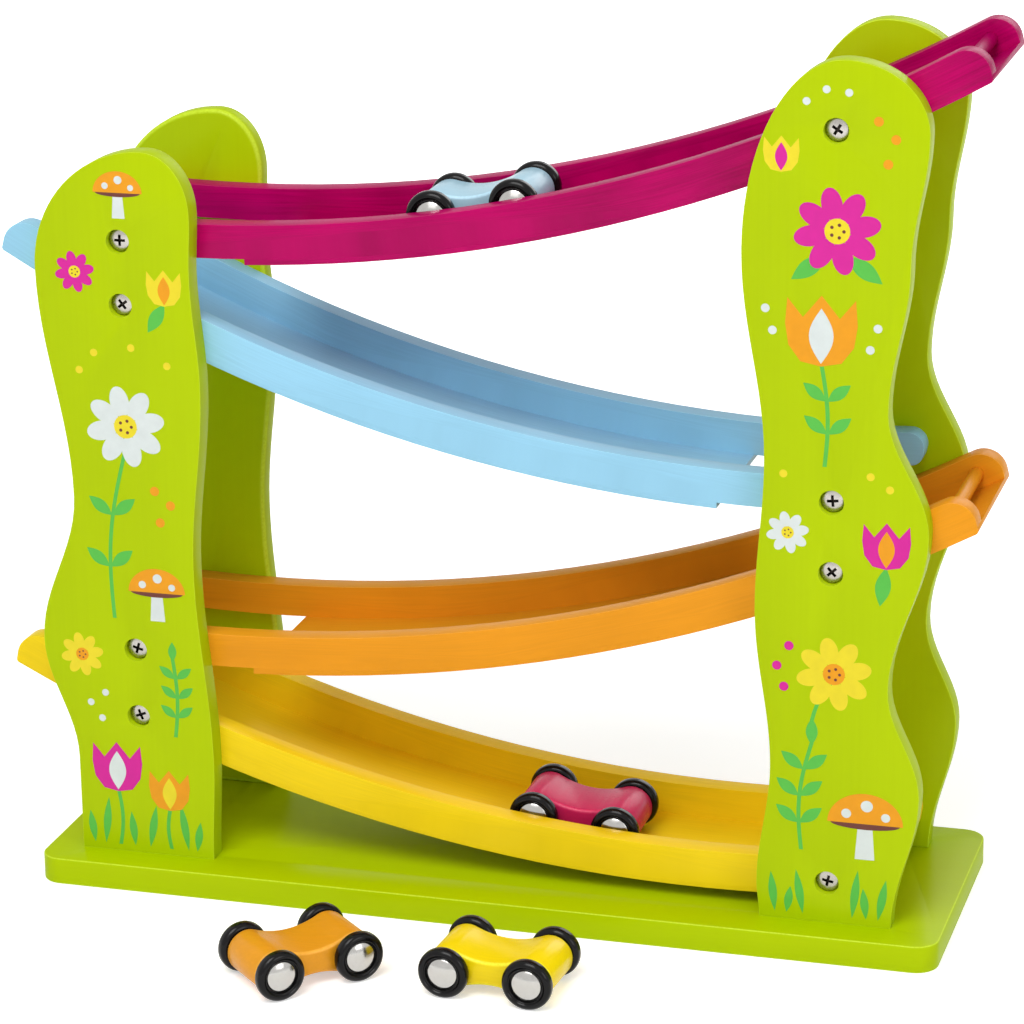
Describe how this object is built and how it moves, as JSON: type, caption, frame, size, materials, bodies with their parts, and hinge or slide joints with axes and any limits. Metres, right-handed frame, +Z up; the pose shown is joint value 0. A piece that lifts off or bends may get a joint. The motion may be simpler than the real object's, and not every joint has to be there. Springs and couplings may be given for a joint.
{
  "type": "click clack track toy",
  "caption": "Wooden racing track toy: curved tracks on wavy posts over a base board, with waisted cars that roll down and drop from track to track",
  "frame": {"origin": "centre of the base board's underside", "axes": "+X to the right along the tracks as seen from the front, +Y to the back, +Z up"},
  "size_m": [0.4268, 0.2303, 0.3826],
  "materials": {
    "green_wood": "painted, satin",
    "magenta_wood": "stained and varnished",
    "sky_wood": "stained and varnished",
    "orange_wood": "stained and varnished",
    "yellow_wood": "stained and varnished",
    "blue_car_wood": "painted, satin",
    "crimson_car_wood": "painted, satin",
    "orange_car_wood": "painted, satin",
    "yellow_car_wood": "painted, satin",
    "black_plastic": "moulded, low gloss",
    "chrome": "polished",
    "steel": "nickel plated"
  },
  "bodies": {
    "stand": {"base_board": "green_wood", "base_screws": "steel", "track_screws": "steel", "left_front_post": "green_wood", "left_back_post": "green_wood", "right_front_post": "green_wood", "right_back_post": "green_wood", "top_front_rail": "magenta_wood", "top_back_rail": "magenta_wood", "top_floor": "magenta_wood", "top_dowel": "magenta_wood", "upper_front_rail": "sky_wood", "upper_back_rail": "sky_wood", "upper_floor": "sky_wood", "upper_dowel": "sky_wood", "lower_front_rail": "orange_wood", "lower_back_rail": "orange_wood", "lower_floor": "orange_wood", "lower_dowel": "orange_wood", "bottom_front_rail": "yellow_wood", "bottom_back_rail": "yellow_wood", "bottom_floor": "yellow_wood", "bottom_dowel": "yellow_wood"},
    "blue_car": {"blue_car_body": "blue_car_wood"},
    "blue_front_wheels": {"blue_front_axle": "steel", "blue_front_left_wheel": "black_plastic", "blue_front_right_wheel": "black_plastic", "blue_front_caps": "chrome"},
    "blue_rear_wheels": {"blue_rear_axle": "steel", "blue_rear_left_wheel": "black_plastic", "blue_rear_right_wheel": "black_plastic", "blue_rear_caps": "chrome"},
    "crimson_car": {"crimson_car_body": "crimson_car_wood"},
    "crimson_front_wheels": {"crimson_front_axle": "steel", "crimson_front_left_wheel": "black_plastic", "crimson_front_right_wheel": "black_plastic", "crimson_front_caps": "chrome"},
    "crimson_rear_wheels": {"crimson_rear_axle": "steel", "crimson_rear_left_wheel": "black_plastic", "crimson_rear_right_wheel": "black_plastic", "crimson_rear_caps": "chrome"},
    "orange_car": {"orange_car_body": "orange_car_wood"},
    "orange_front_wheels": {"orange_front_axle": "steel", "orange_front_left_wheel": "black_plastic", "orange_front_right_wheel": "black_plastic", "orange_front_caps": "chrome"},
    "orange_rear_wheels": {"orange_rear_axle": "steel", "orange_rear_left_wheel": "black_plastic", "orange_rear_right_wheel": "black_plastic", "orange_rear_caps": "chrome"},
    "yellow_car": {"yellow_car_body": "yellow_car_wood"},
    "yellow_front_wheels": {"yellow_front_axle": "steel", "yellow_front_left_wheel": "black_plastic", "yellow_front_right_wheel": "black_plastic", "yellow_front_caps": "chrome"},
    "yellow_rear_wheels": {"yellow_rear_axle": "steel", "yellow_rear_left_wheel": "black_plastic", "yellow_rear_right_wheel": "black_plastic", "yellow_rear_caps": "chrome"}
  },
  "joints": [
    {"name": "blue_car_roll", "type": "hinge", "parent": "stand", "child": "blue_car", "pos_m": [-0.132, 0, 0.9648], "axis": [0, -1, 0], "range_deg": [-6.6, 15.8]},
    {"name": "blue_front_wheels_turn", "type": "hinge", "parent": "blue_car", "child": "blue_front_wheels", "pos_m": [0.01078, 0, 0.30773], "axis": [0, -1, 0], "continuous": true},
    {"name": "blue_rear_wheels_turn", "type": "hinge", "parent": "blue_car", "child": "blue_rear_wheels", "pos_m": [-0.02519, 0, 0.30094], "axis": [0, -1, 0], "continuous": true},
    {"name": "crimson_car_roll", "type": "hinge", "parent": "stand", "child": "crimson_car", "pos_m": [0.0963, 0, 0.7038], "axis": [0, -1, 0], "range_deg": [-18.3, 10.1]},
    {"name": "crimson_front_wheels_turn", "type": "hinge", "parent": "crimson_car", "child": "crimson_front_wheels", "pos_m": [0.05244, 0, 0.03283], "axis": [0, -1, 0], "continuous": true},
    {"name": "crimson_rear_wheels_turn", "type": "hinge", "parent": "crimson_car", "child": "crimson_rear_wheels", "pos_m": [0.01599, 0, 0.03621], "axis": [0, -1, 0], "continuous": true},
    {"name": "orange_car_roll", "type": "slide", "parent": "stand", "child": "orange_car", "axis": [0.6947, 0.7193, 0], "range_m": [-0.06, 0.012]},
    {"name": "orange_front_wheels_turn", "type": "hinge", "parent": "orange_car", "child": "orange_front_wheels", "pos_m": [-0.04229, -0.11714, 0.0108], "axis": [-0.7193, 0.6947, 0], "continuous": true},
    {"name": "orange_rear_wheels_turn", "type": "hinge", "parent": "orange_car", "child": "orange_rear_wheels", "pos_m": [-0.06771, -0.14346, 0.0108], "axis": [-0.7193, 0.6947, 0], "continuous": true},
    {"name": "yellow_car_roll", "type": "slide", "parent": "stand", "child": "yellow_car", "axis": [0.9974, -0.0715, 0], "range_m": [-0.004, 0.06]},
    {"name": "yellow_front_wheels_turn", "type": "hinge", "parent": "yellow_car", "child": "yellow_front_wheels", "pos_m": [0.04655, -0.12131, 0.0108], "axis": [0.0715, 0.9974, 0], "continuous": true},
    {"name": "yellow_rear_wheels_turn", "type": "hinge", "parent": "yellow_car", "child": "yellow_rear_wheels", "pos_m": [0.01005, -0.11869, 0.0108], "axis": [0.0715, 0.9974, 0], "continuous": true}
  ],
  "couplings": [
    {"joint": "blue_front_wheels_turn", "follows": "blue_car_roll", "ratio": -63.259},
    {"joint": "blue_rear_wheels_turn", "follows": "blue_car_roll", "ratio": -63.259},
    {"joint": "crimson_front_wheels_turn", "follows": "crimson_car_roll", "ratio": -63.259},
    {"joint": "crimson_rear_wheels_turn", "follows": "crimson_car_roll", "ratio": -63.259},
    {"joint": "orange_front_wheels_turn", "follows": "orange_car_roll", "rad_per_m": 92.593},
    {"joint": "orange_rear_wheels_turn", "follows": "orange_car_roll", "rad_per_m": 92.593},
    {"joint": "yellow_front_wheels_turn", "follows": "yellow_car_roll", "rad_per_m": 92.593},
    {"joint": "yellow_rear_wheels_turn", "follows": "yellow_car_roll", "rad_per_m": 92.593}
  ]
}
